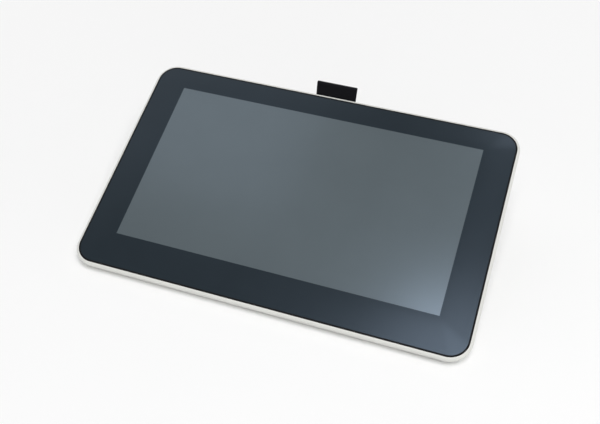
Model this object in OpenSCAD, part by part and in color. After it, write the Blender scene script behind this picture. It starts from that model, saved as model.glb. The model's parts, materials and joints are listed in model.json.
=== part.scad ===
// Pen display: a graphics tablet with a screen, raised on two legs that fold out of its back.
// Tablet frame: x to the right, y to the top edge, z out of the glass, with z = 0 on the back face.
// The stand() module tilts that frame and sets the part down on its leg pads and front feet.

/* [Case] */
// Width of the case, left to right
case_w = 357; // [325:1:390]
// Depth of the case, front edge to top edge
case_d = 225; // [205:1:250]
// Plan radius of the case corners
case_r = 19.4; // [15:0.2:26]
// Thickness from the back face to the front of the glass
body_t = 13.4; // [13.2:0.1:18]
// Wall of the rear cover
wall = 1.8; // [1.4:0.1:2.2]
// Width of the rounded lip of the rear cover round the front
lip = 2.5; // [2.3:0.1:3]
// Depth of the lip below the front of the glass
lip_drop = 0.3; // [0.1:0.1:0.6]
// Radius of the lower side of the case
side_r = 10.5; // [8:0.5:10.5]

/* [Front] */
// Gap between the front frame and the lip
frame_gap = 0.1; // [0.05:0.05:0.3]
// Width of the frame's rim that shows round the glass
rim_w = 0.75; // [0.5:0.05:1.5]
// Depth of the rim below the front of the glass
rim_drop = 0.15; // [0:0.05:0.4]
// Gap between the rim and the glass
glass_gap = 0.1; // [0.05:0.05:0.3]
// Thickness of the cover glass
glass_t = 1.1; // [0.7:0.1:1.3]
// Radius on the front edge of the glass
glass_edge = 0.35; // [0.1:0.05:0.6]
// Thickness of the frame's shelf under the glass
shelf_t = 1.55; // [1.3:0.05:1.8]
// Wall of the frame's box round the display
skirt_w = 1.4; // [1:0.1:1.8]
// Thickness of the stiffening ribs under the shelf
frame_rib = 1.2; // [0.8:0.1:1.6]
// Height of the stiffening ribs under the shelf
frame_rib_h = 2.2; // [1:0.1:3]
// Distance between the ribs down the sides of the frame
frame_rib_pitch = 32; // [20:1:45]
// Distance of the long ribs from the frame's edge
frame_rib_in = 4; // [3:0.5:8]
// Distance of the ribs' ends from the edges of the shelf
frame_rib_end = 1; // [0.5:0.1:1.2]

/* [Display] */
// Border between the picture and the left or right side of the case
border_side = 31.6; // [28:0.2:38]
// Border between the picture and the top edge of the case
border_top = 24.9; // [22:0.1:32]
// Border between the picture and the front edge of the case
border_low = 34.9; // [31:0.1:42]
// Thickness of the black border print
film_t = 0.1; // [0.05:0.05:0.2]
// Thickness of the glass tape
tape_t = 0.25; // [0.15:0.05:0.3]
// Width of the glass tape
tape_w = 7; // [3:0.5:10]
// Thickness of the LCD panel
lcd_t = 1.3; // [1:0.1:1.5]
// Width of the panel beyond the picture, at the sides and the top
lcd_side = 3.5; // [2.5:0.1:4.5]
// Width of the panel's connecting ledge below the picture
lcd_ledge = 5; // [4:0.1:6]
// Width of the panel's upper plate below the picture
lcd_lap = 1; // [0.5:0.1:1.5]
// Thickness of the backlight unit
backlight_t = 2.4; // [2:0.1:2.6]
// Wall of the backlight tray
tray_wall = 0.6; // [0.4:0.1:1]
// Floor of the backlight tray
tray_floor = 0.3; // [0.2:0.05:0.5]
// Thickness of the diffuser sheets
sheet_t = 0.5; // [0.3:0.1:0.8]
// Width of the LED strip along the lower edge of the light guide
led_w = 2.5; // [2:0.1:4]
// Thickness of the LED strip's board
led_board_t = 0.4; // [0.3:0.05:0.6]
// Gap between the lamps and the diffuser sheets
led_gap = 0.2; // [0.1:0.05:0.4]
// Number of lamps on the LED strip
lamps = 30; // [16:1:48]
// Thickness of the pen sensor board
sensor_t = 0.8; // [0.5:0.1:1]
// Thickness of the steel shield plate
shield_t = 0.3; // [0.2:0.05:0.4]
// Width of the panel driver board
driver_d = 6.5; // [5.6:0.1:7.5]
// Length of the panel driver board
driver_w = 240; // [200:1:270]
// Thickness of the panel driver board
driver_t = 0.9; // [0.6:0.1:1.2]
// Chips on the panel driver board: width, depth and height
driver_chip = [16, 2.2, 0.8]; // [0.5:0.1:20]
// Distance of those chips from the edge of their board
driver_chip_in = 0.8; // [0.4:0.1:1.2]
// Gap round the display in the frame's box
box_gap = 0.5; // [0.3:0.05:0.8]
// Distance of the shield screws from the ends of the display's box
ear_in = 36.3; // [25:0.1:50]
// Edge of the frame's ears round the heads of the shield screws
ear_edge = 0.8; // [0.5:0.1:1.2]
// Number of flex strips between the panel and its driver board
strips = 4; // [2:1:6]
// Width of one flex strip
strip_w = 28; // [20:1:34]
// Gap between a flex strip and the panel's upper plate
strip_gap = 0.4; // [0.2:0.1:0.8]
// Length of a flex strip past the edge of the panel
strip_out = 0.2; // [0.1:0.05:0.4]
// Length of a flex strip's slope, and of its end on the driver board
strip_run = 1.4; // [1:0.1:2]

/* [Stand] */
// Tilt of the tablet with its legs out, in degrees
tilt = 19; // [14:0.5:24]
// Lean of the open legs past upright, in degrees
leg_lean = 8; // [4:0.5:12]
// Distance of each leg from the middle
leg_x = 104; // [100:1:112]
// Width of a leg
leg_w = 58; // [52:1:62]
// Thickness of a leg
leg_t = 4; // [3.6:0.1:4.6]
// Distance of the hinge line from the top edge of the case
hinge_in = 32.5; // [27:0.5:46]
// Gap above and below a folded leg
leg_gap = 0.2; // [0.15:0.05:0.4]
// Gap beside a leg
side_gap = 0.4; // [0.25:0.05:0.7]
// Gap behind the hinge barrel
rear_gap = 0.3; // [0.2:0.05:0.6]
// Room for a fingertip past the end of a folded leg
finger_gap = 10; // [8:0.5:14]
// Wall of the leg housings
pocket_wall = 1.2; // [0.8:0.1:1.4]
// Radius of the leg's free corners
leg_corner = 6; // [3:0.5:7]
// Diameter of the hinge pins
pin_d = 2; // [1.6:0.1:2.2]
// Head length of the hinge pins
pin_head_t = 1; // [0.6:0.1:1.5]
// How far the pin's head stands out round the pin
pin_head_edge = 0.4; // [0.2:0.05:0.5]
// Radial clearance of the pin in the cover
pin_fit = 0.02; // [0.01:0.01:0.05]
// Radial clearance of the pin in the leg
hinge_fit = 0.05; // [0.02:0.01:0.1]
// Length of a hinge boss beside the leg
boss_l = 6; // [4:0.5:8]
// Depth of a hinge boss
boss_d = 8; // [6:0.5:10]
// Height of the rib that stops the open leg
stop_h = 0.6; // [0.4:0.05:0.9]
// Gap between the stop rib and the open leg
stop_gap = 0.12; // [0.08:0.02:0.3]
// Length of the rubber pad at the end of a leg
pad_l = 6; // [4.5:0.5:9]
// Thickness of the tongue that holds the pad
tongue_t = 1.6; // [1.2:0.1:2]
// Length of the tongue that holds the pad
tongue_l = 3; // [2:0.1:3.5]
// Gap round the tongue
tongue_fit = 0.05; // [0.02:0.01:0.15]
// Skin of a leg
leg_skin = 1.3; // [1:0.1:1.6]
// Outer wall of a leg
leg_wall = 2.4; // [1.8:0.1:3]
// Ribs inside a leg
leg_rib = 1.6; // [1:0.1:2.2]
// Columns of cells between the ribs
cell_cols = 2; // [2:1:3]
// Rows of cells between the ribs
cell_rows = 3; // [2:1:4]
// Corner radius of a cell
cell_round = 1.5; // [0.5:0.1:2.5]

/* [Stored nibs] */
// Length of a spare nib
nib_l = 17; // [14:0.5:19]
// Diameter of a spare nib
nib_d = 1.7; // [1.4:0.1:2]
// Distance between the spare nibs
nib_pitch = 4.2; // [3:0.1:4.6]
// Gap round a nib in its cradle
nib_fit = 0.05; // [0.02:0.01:0.15]
// Height of the nibs above the leg's skin
nib_lift = 0.25; // [0.1:0.05:0.4]
// Thickness of a cradle
cradle_t = 2.5; // [1.5:0.1:3]
// Distance of the cradles from the middle of the nibs
cradle_out = 5.1; // [4:0.1:6]
// Outer diameter of the nib remover
remover_d = 9; // [7:0.5:11]
// Hole of the nib remover
remover_hole = 5.2; // [4:0.2:6]
// Thickness of the nib remover
remover_t = 1.6; // [1:0.1:1.8]
// Width of the slit in the nib remover
remover_slit = 0.8; // [0.5:0.1:1.2]
// Height of the remover's post above it
remover_post = 0.3; // [0.1:0.1:0.6]

/* [Feet and screws] */
// Length of a rubber foot
foot_l = 60; // [52:1:70]
// Width of a rubber foot
foot_w = 8; // [7:0.5:9]
// Height of a foot below the back face
foot_h = 1.2; // [0.8:0.1:2]
// Depth of a foot in its seat
foot_sink = 0.6; // [0.4:0.05:0.8]
// Gap round a foot in its seat
foot_fit = 0.1; // [0.05:0.05:0.3]
// Distance of the feet from the middle
foot_x = 110; // [106:1:118]
// Flat margin between a foot and the rounded side
foot_edge = 1; // [0.5:0.1:2]
// Distance of the case screws from the middle of a foot
screw_out = 20; // [16:1:22]
// Diameter of the case screws
screw_d = 1.9; // [1.6:0.1:2.2]
// Head diameter of the case screws
head_d = 3.8; // [3.4:0.1:4.2]
// Head height of the case screws
head_h = 1.2; // [0.8:0.1:1.3]
// Length of the case screws under the head
screw_l = 6.5; // [5:0.5:7]
// Radial clearance of the screws
screw_fit = 0.08; // [0.05:0.01:0.2]
// Gap between the heads of the case screws and the feet
head_gap = 0.1; // [0.05:0.05:0.3]
// Height of the screw posts above the floor
post_h = 1.4; // [1:0.1:2]
// Diameter of the screw posts and bosses
post_d = 6.4; // [5.8:0.1:7]
// Diameter of the small screws
small_d = 1.6; // [1.2:0.1:1.8]
// Head diameter of the small screws
small_head_d = 3.2; // [2.8:0.1:3.6]
// Head height of the small screws
small_head_h = 0.5; // [0.4:0.05:0.7]
// Length of the shield screws under the head
shield_screw_l = 2.4; // [1.8:0.1:2.6]
// Length of the loop screws under the head
loop_screw_l = 4; // [3:0.1:4.5]
// Grip of the board screws in their posts
board_bite = 1.6; // [1.2:0.1:2]
// Head height of the board screws
board_head_h = 1; // [0.6:0.1:1.2]

/* [Pen loop] */
// Width of the loop's webbing
loop_w = 39; // [30:1:45]
// Thickness of the webbing
band_t = 1.1; // [1:0.1:1.3]
// Outer radius of the loop's fold
loop_r = 1.9; // [1.6:0.1:2.4]
// Inner radius of the webbing's bend outside the case
bend_r = 1; // [0.6:0.1:1.6]
// Straight length of webbing between the case side and the bend
bend_out = 0.2; // [0.1:0.05:0.5]
// Distance of the loop's fold from the middle of the bend
loop_reach = 11.6; // [10:0.1:14]
// Lean of that distance above the plane of the back, in degrees
loop_lean = 44; // [36:1:50]
// Depth of the loop's slot below the front of the glass
loop_drop = 4.6; // [4.4:0.1:5]
// Gap round the webbing in its slot
loop_fit = 0.15; // [0.1:0.05:0.3]
// Length of webbing held inside the case
tail_l = 8.2; // [7:0.1:9]
// Thickness of the clamp bar
clamp_t = 1; // [0.9:0.1:1.2]
// Width of the posts that carry the clamp bar
clamp_post = 5; // [4.5:0.1:6]
// Gap over the clamp bar under the front frame
clamp_room = 0.15; // [0.1:0.05:0.3]
// Gap beside the clamp bar in the front frame
clamp_side = 1; // [0.5:0.1:2]

/* [Top edge] */
// Place of the USB-C socket along the top edge
usb_x = 46; // [40:1:48]
// Width of the USB-C socket
usb_w = 8.94; // [8.9:0.02:9.2]
// Height of the USB-C socket
usb_h = 3.26; // [3.2:0.02:3.4]
// Length of the USB-C socket
usb_l = 7.35; // [6.5:0.05:8]
// Wall of the USB-C socket
usb_wall = 0.3; // [0.2:0.05:0.4]
// Depth of the socket's mouth behind the case side
usb_sink = 2.6; // [2.4:0.1:3]
// Gap round the socket in the case
usb_fit = 0.2; // [0.1:0.05:0.3]
// Contact tongue of the socket: width, length and thickness
usb_tongue = [6.7, 4.4, 0.7]; // [0.5:0.1:7]
// Thickness of the socket's back
usb_back = 1.6; // [1:0.1:2]
// Width of the recess for the plug's grip
plug_w = 13; // [12:0.5:15]
// Height of the recess for the plug's grip
plug_h = 7; // [6:0.5:7.5]
// Wall round that recess inside the case
plug_wall = 0.7; // [0.5:0.05:0.75]
// Place of the power button along the top edge
button_x = -46; // [-48:1:-44]
// Width of the power button
button_w = 14; // [11:0.5:16]
// Height of the power button
button_h = 3.2; // [2.6:0.1:3.4]
// Travel of the power button
button_travel = 0.5; // [0.3:0.05:0.6]
// How far the button stands out of the case side
button_proud = 0.4; // [0.1:0.1:0.8]
// Gap round the power button
button_fit = 0.15; // [0.1:0.05:0.3]
// Height of the button's middle above the main board
button_lift = 2; // [1.8:0.1:2.2]
// Length of the ears that keep the button in
button_ear = 2.5; // [1.5:0.1:3]
// Thickness of those ears
button_ear_t = 1.6; // [1:0.1:2]
// How much lower than the button its ears are
button_ear_low = 0.4; // [0.2:0.1:0.8]
// Gap between the ears and the case side
button_ear_gap = 0.25; // [0.15:0.05:0.4]
// Body of the power switch: width, depth and height
switch_size = [6.2, 3.6, 3.5]; // [3:0.1:8]
// Diameter of the switch's plunger
switch_tip_d = 1.8; // [1.2:0.1:2.4]
// Length of the switch's plunger
switch_reach = 0.6; // [0.5:0.05:1]
// Gap between the plunger and the pressed button
switch_gap = 0.1; // [0.05:0.05:0.2]
// Place of the status light along the top edge
light_x = -33; // [-34:1:-30]
// Diameter of the status light
light_d = 1.8; // [1.4:0.1:2.4]
// Gap round the status light
light_fit = 0.08; // [0.05:0.01:0.2]
// Depth of the light pipe's face in the case side
light_sink = 0.1; // [0:0.05:0.3]
// Gap between the status lamp and the light pipe
lamp_gap = 0.1; // [0.05:0.05:0.3]
// Status lamp on the main board: width and depth
lamp_size = [2, 1.6]; // [1:0.1:3]
// Distance of the status lamp behind the switch's front
lamp_back = 1.5; // [1:0.1:2.5]

/* [Boards and cables] */
// Width of the main board
board_w = 112; // [104:1:114]
// Depth of the main board
board_d = 47; // [42:1:60]
// Thickness of the main board
board_t = 1.2; // [0.8:0.1:1.4]
// Gap between the main board and the pen loop's cradle
board_gap = 3; // [2:0.1:4]
// Gap between the main board's tabs and the case side
board_fit = 0.5; // [0.3:0.05:1]
// Distance of the board screws from the edges of the board
board_screw_in = 4; // [3.4:0.1:6]
// Width of the main board's tab under the socket
tab_w = 16; // [12:0.5:18]
// Margin of the main board's tab beside the switch and the status lamp
tab_edge = 2; // [1:0.1:3]
// Height of the chips on the main board
chip_h = 1.1; // [0.8:0.1:1.2]
// Height of the main board above the floor
board_lift = 1.2; // [1:0.1:1.4]
// Width of the shield can
can_w = 40; // [30:1:44]
// Depth of the shield can
can_d = 28; // [20:1:32]
// Height of the shield can
can_h = 1.9; // [1.5:0.1:2]
// Wall of the shield can
can_wall = 0.3; // [0.2:0.05:0.5]
// Height of the connectors on the main board
plug_rise = 1.2; // [0.8:0.1:1.4]
// Depth of the connectors on the main board
plug_d = 4; // [3:0.1:5]
// Distance of the display connector from the edge of the main board
plug_in = 2; // [1:0.1:4]
// Width of the display cable
cable_w = 14; // [10:1:18]
// Thickness of the display cable
cable_t = 0.25; // [0.15:0.05:0.3]
// Place of the display cable
cable_x = -36; // [-40:1:-34]
// Gap between the display cable and the shield plate
cable_gap = 0.15; // [0.1:0.05:0.3]
// Distance of the cable's end from the edge of the driver board
cable_in = 1; // [0.9:0.05:1.3]
// Length of the cable's slope out of the shield plate
cable_slope = 2.1; // [1.5:0.1:3]
// Length of the cable's slope down to the main board
cable_ramp = 4; // [3:0.1:6]
// Gap beside the cables in the slots of the shield plate
slot_side = 2; // [1:0.1:3]
// Width of the sensor flex
flex_w = 12; // [8:1:16]
// Thickness of the flexes
flex_t = 0.2; // [0.1:0.05:0.25]
// Place of the sensor flex
flex_x = 36; // [32:1:40]
// Distance of the sensor flex from the top edge of its board
flex_in = 2; // [1.5:0.1:3]
// Length of the sensor flex that lies on its board
flex_bond = 2.5; // [2:0.1:3]
// Length of the flex's slope through the shield plate
flex_slope = 3.5; // [3:0.1:4.5]
// Depth of the flex below the shield plate at the end of that slope
flex_drop = 0.7; // [0.5:0.05:0.9]
// Length of the flex's slope down to the main board
flex_ramp = 2.6; // [2:0.1:3.5]
// Length of the flex on its connector
flex_grip = 4.4; // [4:0.1:5]
// Room before and after the flex in the slot of the shield plate
slot_end = [2, 1]; // [0.5:0.1:3]

/* [Hidden] */
$fn = 72;
// Overlap that makes two shapes one, or lets a cut pass a face
eps = 0.5;
// Overlap of small shapes that belong to one piece
fuse = 0.1;

// Colours
off_white = [0.86, 0.87, 0.84];
black = [0.07, 0.08, 0.09];
border_black = [0.12, 0.14, 0.16];
screen_grey = [0.36, 0.4, 0.42];
rubber_grey = [0.25, 0.25, 0.26];
steel = [0.72, 0.73, 0.74];
board_green = [0.1, 0.32, 0.2];
flex_amber = [0.72, 0.45, 0.12];

// Levels of the display stack, from the glass down
glass_z = body_t - glass_t;
film_z = glass_z - film_t;
shelf_z = film_z - tape_t;
lcd_z = shelf_z - lcd_t;
tray_z = lcd_z - backlight_t;
sensor_z = tray_z - sensor_t;
shield_z = sensor_z - shield_t;
shelf_under = shelf_z - shelf_t;

// Insets of the front pieces from the case outline
lip_top = body_t - lip_drop;
lip_mid = lip_top - lip;
edge_r = min(side_r, lip_mid - fuse);
frame_in = lip + frame_gap;
rim_in = frame_in + rim_w;
glass_in = rim_in + glass_gap;

// Picture, panel, tray and the frame's box round them
screen_w = case_w - 2 * border_side;
screen_h = case_d - border_top - border_low;
screen_up = (border_low - border_top) / 2;
lcd_w = screen_w + 2 * lcd_side;
lcd_top = screen_up + screen_h / 2 + lcd_side;
lcd_low = screen_up - screen_h / 2 - lcd_ledge;
lcd_d = lcd_top - lcd_low;
box_w = lcd_w + 2 * box_gap;
box_top = lcd_top + box_gap;
box_low = lcd_low - driver_d - 2 * box_gap;
box_d = box_top - box_low;
driver_low = box_low + box_gap;
driver_z = tray_z + tray_floor;
ear_x = box_w / 2 + skirt_w + small_head_d / 2;
ear_ys = [box_low + ear_in, box_top - ear_in];
ear_d = small_head_d + 2 * ear_edge;

// Stand
barrel_r = leg_t / 2;
recess_d = leg_t + 2 * leg_gap;
hinge_y = case_d / 2 - hinge_in;
hinge_z = recess_d / 2;
open_a = 90 - tilt + leg_lean;
foot_y = case_d / 2 - edge_r - foot_edge - foot_w / 2;
foot_front = foot_y + foot_w / 2;
hinge_h = (hinge_y + foot_front) * sin(tilt) + (hinge_z + foot_h) * cos(tilt);
leg_reach = hinge_h / cos(leg_lean);
sole_rise = barrel_r * tan(leg_lean);
leg_tip = leg_reach + sole_rise;
plate_l = leg_reach - sole_rise - pad_l;
recess_front = hinge_y - leg_tip - finger_gap;
recess_rear = hinge_y + barrel_r + rear_gap;
recess_w = leg_w + 2 * side_gap;
recess_l = recess_rear - recess_front;
recess_mid = (recess_rear + recess_front) / 2;
stop_s = (hinge_z - stop_h - barrel_r * cos(open_a)) / sin(open_a);
stop_y = hinge_y + barrel_r * sin(open_a) - stop_s * cos(open_a) + stop_gap;
pin_head_d = pin_d + 2 * pin_head_edge;
pin_l = recess_w + 2 * boss_l;

// Cells inside a leg, and what the left leg stores in the middle row
cell_w = (leg_w - 2 * leg_wall - (cell_cols - 1) * leg_rib) / cell_cols;
cell_top = barrel_r + leg_wall;
cell_d = (plate_l - leg_wall - cell_top - (cell_rows - 1) * leg_rib) / cell_rows;
cell_floor = leg_skin - barrel_r;
store_row = 1;
nib_z = cell_floor + nib_d / 2 + nib_lift;

// Screws
screw_spots = [for (sx = [-1, 1], sy = [-1, 1], k = [-1, 1]) [sx * foot_x + k * screw_out, sy * foot_y]];
head_seat = foot_sink + head_h + head_gap;
post_top = wall + post_h;

// Pen loop: the middles of its bend and its fold, and the slopes of its front and back plies
loop_z = body_t - loop_drop;
loop_bend = [case_d / 2 + bend_out, loop_z + band_t + bend_r];
loop_mid = loop_bend + loop_reach * [cos(loop_lean), sin(loop_lean)];
ply_front = loop_lean + asin((bend_r + loop_r) / loop_reach);
ply_back = loop_lean + asin((bend_r + 2 * band_t - loop_r) / loop_reach);
tail_in = case_d / 2 - tail_l;
clamp_z = loop_z + band_t;
clamp_d = tail_l - lip - 2 * loop_fit;
clamp_y = tail_in + clamp_d / 2 + loop_fit;
clamp_w = loop_w + 2 * (loop_fit + clamp_post);
clamp_screw_x = loop_w / 2 + loop_fit + clamp_post / 2;

// Boards and the top edge controls
board_z = wall + board_lift;
board_top = board_z + board_t;
board_high = tail_in - board_gap;
board_low = board_high - board_d;
board_edge = side_in(board_z) - board_fit;
board_spots = [
    for (sx = [-1, 1], y = [board_low + board_screw_in, board_high - board_screw_in])
        [sx * (board_w / 2 - board_screw_in), y]
];
usb_z = board_top + usb_h / 2;
usb_mouth = case_d / 2 - usb_sink;
button_z = board_top + button_lift;
ear_front = side_in(button_z - button_h / 2) - button_ear_gap;
button_back = ear_front - button_ear_t;
switch_tip = button_back - button_travel - switch_gap;
switch_front = switch_tip - switch_reach;
lamp_front = switch_front - lamp_back;
plug_z = board_top + plug_rise;
cable_z = shield_z - cable_gap - cable_t;
flex_low = lcd_top - flex_in - flex_bond - flex_slope;
flex_plug = flex_low - flex_ramp - flex_grip;

// Placing of the tilted part: soles on z = 0, and the box of the whole part centred in y
stand_z = foot_front * sin(tilt) + foot_h * cos(tilt);
reach_rear = loop_mid[0] * cos(tilt) - loop_mid[1] * sin(tilt) + loop_r;
reach_front = (case_d / 2 - lip) * cos(tilt) + lip_mid * sin(tilt) + lip;
stand_y = (reach_front - reach_rear) / 2;

// Depth of the case side's inner face at a height z
function side_in(z) =
    min(case_d / 2 - lip, case_d / 2 - edge_r + sqrt(pow(edge_r - wall, 2) - pow(max(edge_r - z, 0), 2)));
// Places of the panel's flex strips, and of the cells inside a leg
function strip_x(k) = (k - (strips - 1) / 2) * driver_w / strips;
function cell_mid(col, row) =
    [(col - (cell_cols - 1) / 2) * (cell_w + leg_rib), -cell_top - cell_d / 2 - row * (cell_d + leg_rib)];

// Tilts the tablet frame and stands it on the table
module stand() {
    translate([0, stand_y, stand_z]) rotate([tilt, 0, 0]) children();
}

// Rectangle with round corners, centred
module round_rect(w, d, r) {
    square([w - 2 * r, d], center = true);
    square([w, d - 2 * r], center = true);
    for (x = [-1, 1], y = [-1, 1])
        translate([x * (w / 2 - r), y * (d / 2 - r)]) circle(r);
}

// Slot shape with round ends, centred
module stadium(w, h) {
    square([w - h, h], center = true);
    for (x = [-1, 1]) translate([x * (w - h) / 2, 0]) circle(h / 2);
}

// Outline of the case, drawn in by a margin
module case_outline(inset) {
    round_rect(case_w - 2 * inset, case_d - 2 * inset, case_r - inset);
}

// Solid with one side profile all round: the profile runs outwards from the corner's middle
module swept(w, d, r, z_low, z_high) {
    for (a = [0, 180]) rotate(a) translate([0, d / 2 - r, 0])
        rotate([90, 0, 90]) linear_extrude(w - 2 * r, center = true) children();
    for (a = [90, 270]) rotate(a) translate([0, w / 2 - r, 0])
        rotate([90, 0, 90]) linear_extrude(d - 2 * r, center = true) children();
    for (k = [0 : 3])
        translate([(k == 0 || k == 3 ? 1 : -1) * (w / 2 - r), (k < 2 ? 1 : -1) * (d / 2 - r), 0])
            rotate(90 * k) rotate_extrude(angle = 90) children();
    translate([0, 0, (z_low + z_high) / 2])
        cube([w - 2 * r, d - 2 * r, z_high - z_low], center = true);
}

// Extrudes an x-z outline along y, from one depth to another
module along_y(y_from, y_to) {
    translate([0, y_to, 0]) rotate([90, 0, 0]) linear_extrude(y_to - y_from) children();
}

// Extrudes a y-z outline along x, centred
module along_x(w) {
    rotate([90, 0, 90]) linear_extrude(w, center = true) children();
}

// Cylinder along x, centred
module x_rod(d, l) {
    rotate([0, 90, 0]) cylinder(d = d, h = l, center = true);
}

// Flat band of even height through y-z points
module band(points, t, w) {
    along_x(w) polygon(concat(points, [for (i = [len(points) - 1 : -1 : 0]) points[i] + [0, t]]));
}

// Screw with its head below z = 0 and its shank above
module screw(d, l, cap_d, cap_h) {
    translate([0, 0, -cap_h]) cylinder(d = cap_d, h = cap_h);
    cylinder(d = d, h = l);
}

// Side of the case: rounded lower edge, upright wall and rounded lip
module outer_profile() {
    square([case_r - edge_r, lip_top]);
    translate([case_r - edge_r, edge_r]) intersection() {
        circle(edge_r);
        translate([0, -edge_r]) square(edge_r);
    }
    translate([0, edge_r]) square([case_r, lip_mid - edge_r]);
    translate([0, lip_mid]) square([case_r - lip, lip]);
    translate([case_r - lip, lip_mid]) intersection() {
        circle(lip);
        square(lip);
    }
}

// Hollow of the case: as deep as the wall allows, as wide as the lip's inner edge
module inner_profile() {
    translate([0, wall]) square([case_r - edge_r, body_t - wall]);
    intersection() {
        translate([case_r - edge_r, edge_r]) circle(edge_r - wall);
        square([case_r - lip, edge_r]);
    }
    translate([0, edge_r]) square([case_r - lip, body_t - edge_r]);
}

// Plan of a leg recess: square at the hinge, round at the finger end
module recess_plan(grow) {
    w = recess_w + 2 * grow;
    translate([0, recess_mid]) round_rect(w, recess_l + 2 * grow, leg_corner + grow);
    translate([0, recess_rear - recess_l / 4]) square([w, recess_l / 2 + 2 * grow], center = true);
}

// Housing of one leg, with the bosses of its hinge
module leg_housing() {
    translate([0, 0, wall / 2]) {
        linear_extrude(recess_d + pocket_wall - wall / 2) recess_plan(pocket_wall);
        translate([-recess_w / 2 - boss_l, hinge_y - boss_d / 2, 0])
            cube([recess_w + 2 * boss_l, boss_d, recess_d + pocket_wall - wall / 2]);
    }
}

// Keeps what lies within the curve of the top edge's side, drawn out by a margin
module within_side(grow) {
    intersection() {
        children();
        translate([0, case_d / 2 - edge_r, edge_r]) x_rod(2 * (edge_r + grow), case_w);
    }
}

// Cradle for the ends of the pen loop, with posts for the clamp bar
module loop_cradle() {
    depth = tail_l - lip + eps;
    translate([-clamp_w / 2, tail_in, 0]) cube([clamp_w, depth, loop_z - band_t]);
    for (s = [-1, 1])
        translate([s * clamp_screw_x - clamp_post / 2, tail_in, 0]) cube([clamp_post, depth, clamp_z]);
}

// Block behind the recess for the plug's grip
module plug_block() {
    w = plug_w + 2 * plug_wall;
    translate([usb_x - w / 2, board_edge + board_fit, 0])
        cube([w, case_d / 2 - board_edge, usb_z + plug_h / 2 + plug_wall]);
}

// Cuts through the case side for the socket, button, light and loop
module edge_cuts() {
    outside = case_d / 2 + eps;
    inside = case_d / 2 - edge_r;
    translate([usb_x, 0, usb_z]) {
        along_y(inside, outside) stadium(usb_w + 2 * usb_fit, usb_h + 2 * usb_fit);
        along_y(usb_mouth, outside) stadium(plug_w, plug_h);
    }
    translate([button_x, 0, button_z])
        along_y(inside, outside) stadium(button_w + 2 * button_fit, button_h + 2 * button_fit);
    translate([light_x, 0, button_z]) along_y(inside, outside) circle(d = light_d + 2 * light_fit);
    translate([0, 0, loop_z])
        along_y(tail_in + clamp_d, outside)
            square([loop_w + 2 * loop_fit, 2 * (band_t + loop_fit)], center = true);
}

// Off-white shell of the back, sides and lip
module rear_cover() {
    color(off_white) stand() {
        difference() {
            union() {
                difference() {
                    swept(case_w, case_d, case_r, 0, lip_top) outer_profile();
                    swept(case_w, case_d, case_r, wall, body_t) inner_profile();
                }
                for (s = [-1, 1]) translate([s * leg_x, 0, 0]) leg_housing();
                for (p = screw_spots) translate([p[0], p[1], wall / 2])
                    cylinder(d = post_d, h = post_top - wall / 2);
                for (p = board_spots) translate([p[0], p[1], wall / 2])
                    cylinder(d = post_d, h = board_z - wall / 2);
                within_side(-wall / 2) {
                    loop_cradle();
                    plug_block();
                }
            }
            for (s = [-1, 1]) translate([s * leg_x, 0, 0]) {
                translate([0, 0, -eps]) linear_extrude(recess_d + eps) recess_plan(0);
                translate([0, hinge_y, hinge_z]) x_rod(pin_d + 2 * pin_fit, pin_l + 2 * eps);
                translate([-s * (pin_l / 2 + pin_head_t), hinge_y, hinge_z])
                    x_rod(pin_head_d + 4 * hinge_fit, 2 * pin_head_t);
            }
            for (x = [-1, 1], y = [-1, 1]) translate([x * foot_x, y * foot_y, -eps])
                linear_extrude(foot_sink + eps) stadium(foot_l + 2 * foot_fit, foot_w + 2 * foot_fit);
            for (p = screw_spots) translate([p[0], p[1], 0]) {
                cylinder(d = head_d + 4 * screw_fit, h = head_seat);
                cylinder(d = screw_d + 4 * screw_fit, h = post_top + eps);
            }
            for (p = board_spots) translate([p[0], p[1], wall / 2])
                cylinder(d = small_d + 2 * screw_fit, h = board_z);
            for (s = [-1, 1]) translate([s * clamp_screw_x, clamp_y, wall])
                cylinder(d = small_d + 2 * screw_fit, h = clamp_z);
            edge_cuts();
        }
        for (s = [-1, 1]) translate([s * leg_x - leg_w / 2, stop_y, 0])
            cube([leg_w, recess_rear + pocket_wall / 2 - stop_y, stop_h]);
    }
}

// Ribs under the shelf, across and along both sides of the display's box
module frame_ribs() {
    rib_low = shelf_under - frame_rib_h;
    side_l = case_w / 2 - frame_in - box_w / 2;
    straight = case_d - 2 * (frame_in + case_r);
    span = frame_rib_pitch * floor(straight / frame_rib_pitch);
    for (s = [-1, 1], y = [-span / 2 : frame_rib_pitch : span / 2])
        translate([s * (box_w / 2 + side_l / 2), y, rib_low + frame_rib_h / 2])
            cube([side_l - 2 * frame_rib_end, frame_rib, frame_rib_h + eps], center = true);
    for (s = [-1, 1])
        translate([s * (case_w / 2 - frame_in - frame_rib_in), 0, rib_low + frame_rib_h / 2])
            cube([frame_rib, straight, frame_rib_h + eps], center = true);
}

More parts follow.
